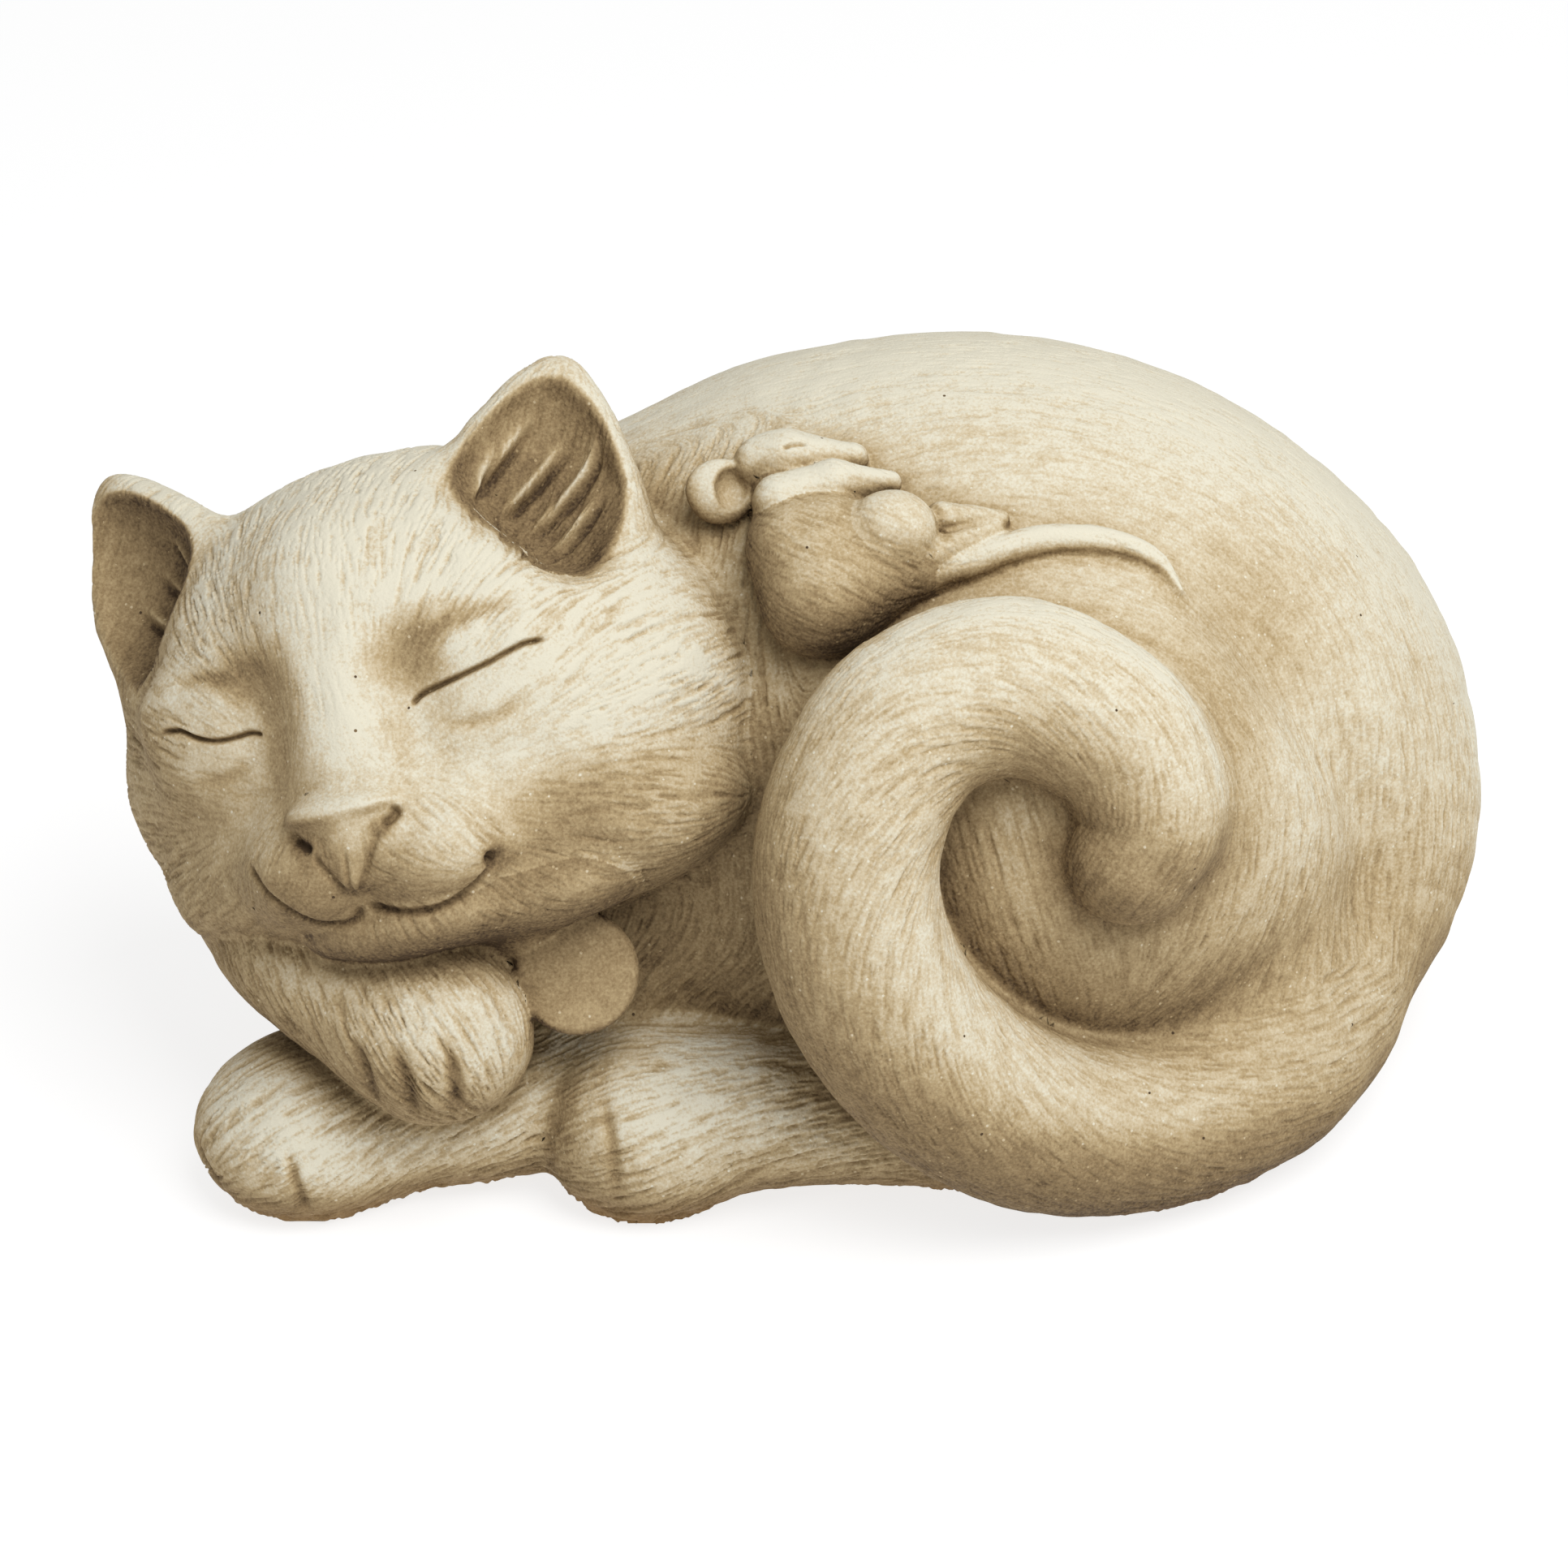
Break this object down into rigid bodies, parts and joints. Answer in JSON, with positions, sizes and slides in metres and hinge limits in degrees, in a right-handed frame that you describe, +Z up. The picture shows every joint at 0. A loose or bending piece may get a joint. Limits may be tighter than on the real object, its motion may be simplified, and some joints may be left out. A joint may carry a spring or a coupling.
{
  "type": "garden cat figurine",
  "caption": "Sleeping cat curled up with its chin on crossed paws, its tail wound in a spiral, a round blank tag under the chin and a mouse asleep on its back",
  "frame": {"origin": "on the flat underside, below the middle of the figure", "axes": "+X to the cat's rump, +Y away from the viewer who faces the cat, +Z up"},
  "size_m": [0.2726, 0.188, 0.1507],
  "materials": {
    "cast_stone": "matt, aged with a brown wash in the fur",
    "cast_stone_tag": "matt, aged with a brown wash"
  },
  "bodies": {
    "root": {"body": "cast_stone", "head": "cast_stone", "muzzle": "cast_stone", "nose": "cast_stone", "chin": "cast_stone", "ear_left": "cast_stone", "ear_right": "cast_stone", "forepaw_lower": "cast_stone", "forepaw_upper": "cast_stone", "hind_paw": "cast_stone", "tail": "cast_stone", "medallion": "cast_stone_tag", "mouse_body": "cast_stone", "mouse_head": "cast_stone", "mouse_ear": "cast_stone", "mouse_arm": "cast_stone", "mouse_leg": "cast_stone", "mouse_tail": "cast_stone"}
  },
  "joints": []
}
